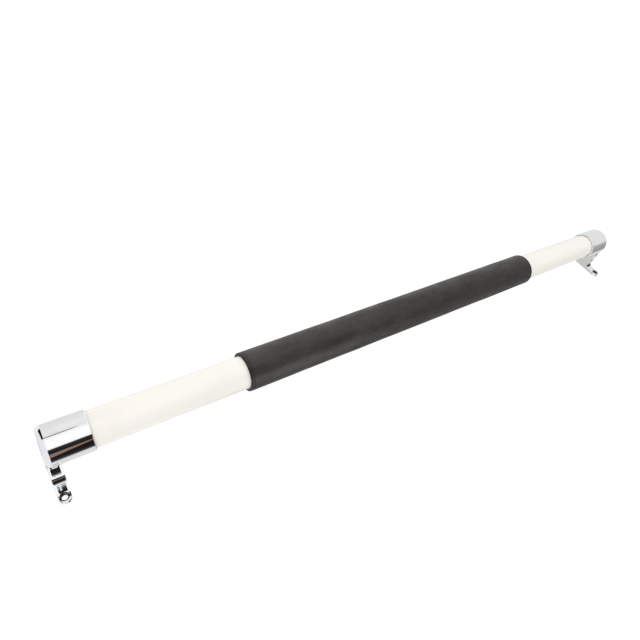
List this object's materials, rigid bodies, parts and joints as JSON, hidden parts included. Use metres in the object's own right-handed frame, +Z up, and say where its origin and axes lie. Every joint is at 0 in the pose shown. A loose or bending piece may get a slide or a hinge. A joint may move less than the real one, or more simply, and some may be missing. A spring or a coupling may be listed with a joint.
{
  "type": "pull up bar",
  "caption": "Straight lacquered tube in chrome cup brackets with screw tabs, and a leather grip sleeve round its middle.",
  "frame": {"origin": "on the mounting surface, midway between the two screw holes", "axes": "+X along the bar, +Z up from the mounting surface to the bar, the screw tabs point towards -Y"},
  "size_m": [0.9, 0.0641, 0.0698],
  "materials": {
    "cream_lacquer": "gloss",
    "chrome_plate": "mirror polished",
    "liner_plastic": "natural",
    "plug_plastic": "moulded",
    "plated_steel": "zinc plated",
    "grip_foam": "closed cell foam",
    "dark_leather": "satin with fine grain",
    "edge_leather": "satin, burnished",
    "black_thread": "waxed"
  },
  "bodies": {
    "root": {"bar_tube": "cream_lacquer", "left_bracket": "chrome_plate", "right_bracket": "chrome_plate", "left_cup_liner": "liner_plastic", "right_cup_liner": "liner_plastic", "left_tube_plug": "plug_plastic", "right_tube_plug": "plug_plastic", "grub_screws": "plated_steel", "pressure_pads": "liner_plastic", "foam_pad": "grip_foam", "leather_wrap": "dark_leather", "left_edge_roll": "edge_leather", "right_edge_roll": "edge_leather", "left_edge_thread": "black_thread", "right_edge_thread": "black_thread", "seam_thread": "black_thread"}
  },
  "joints": []
}
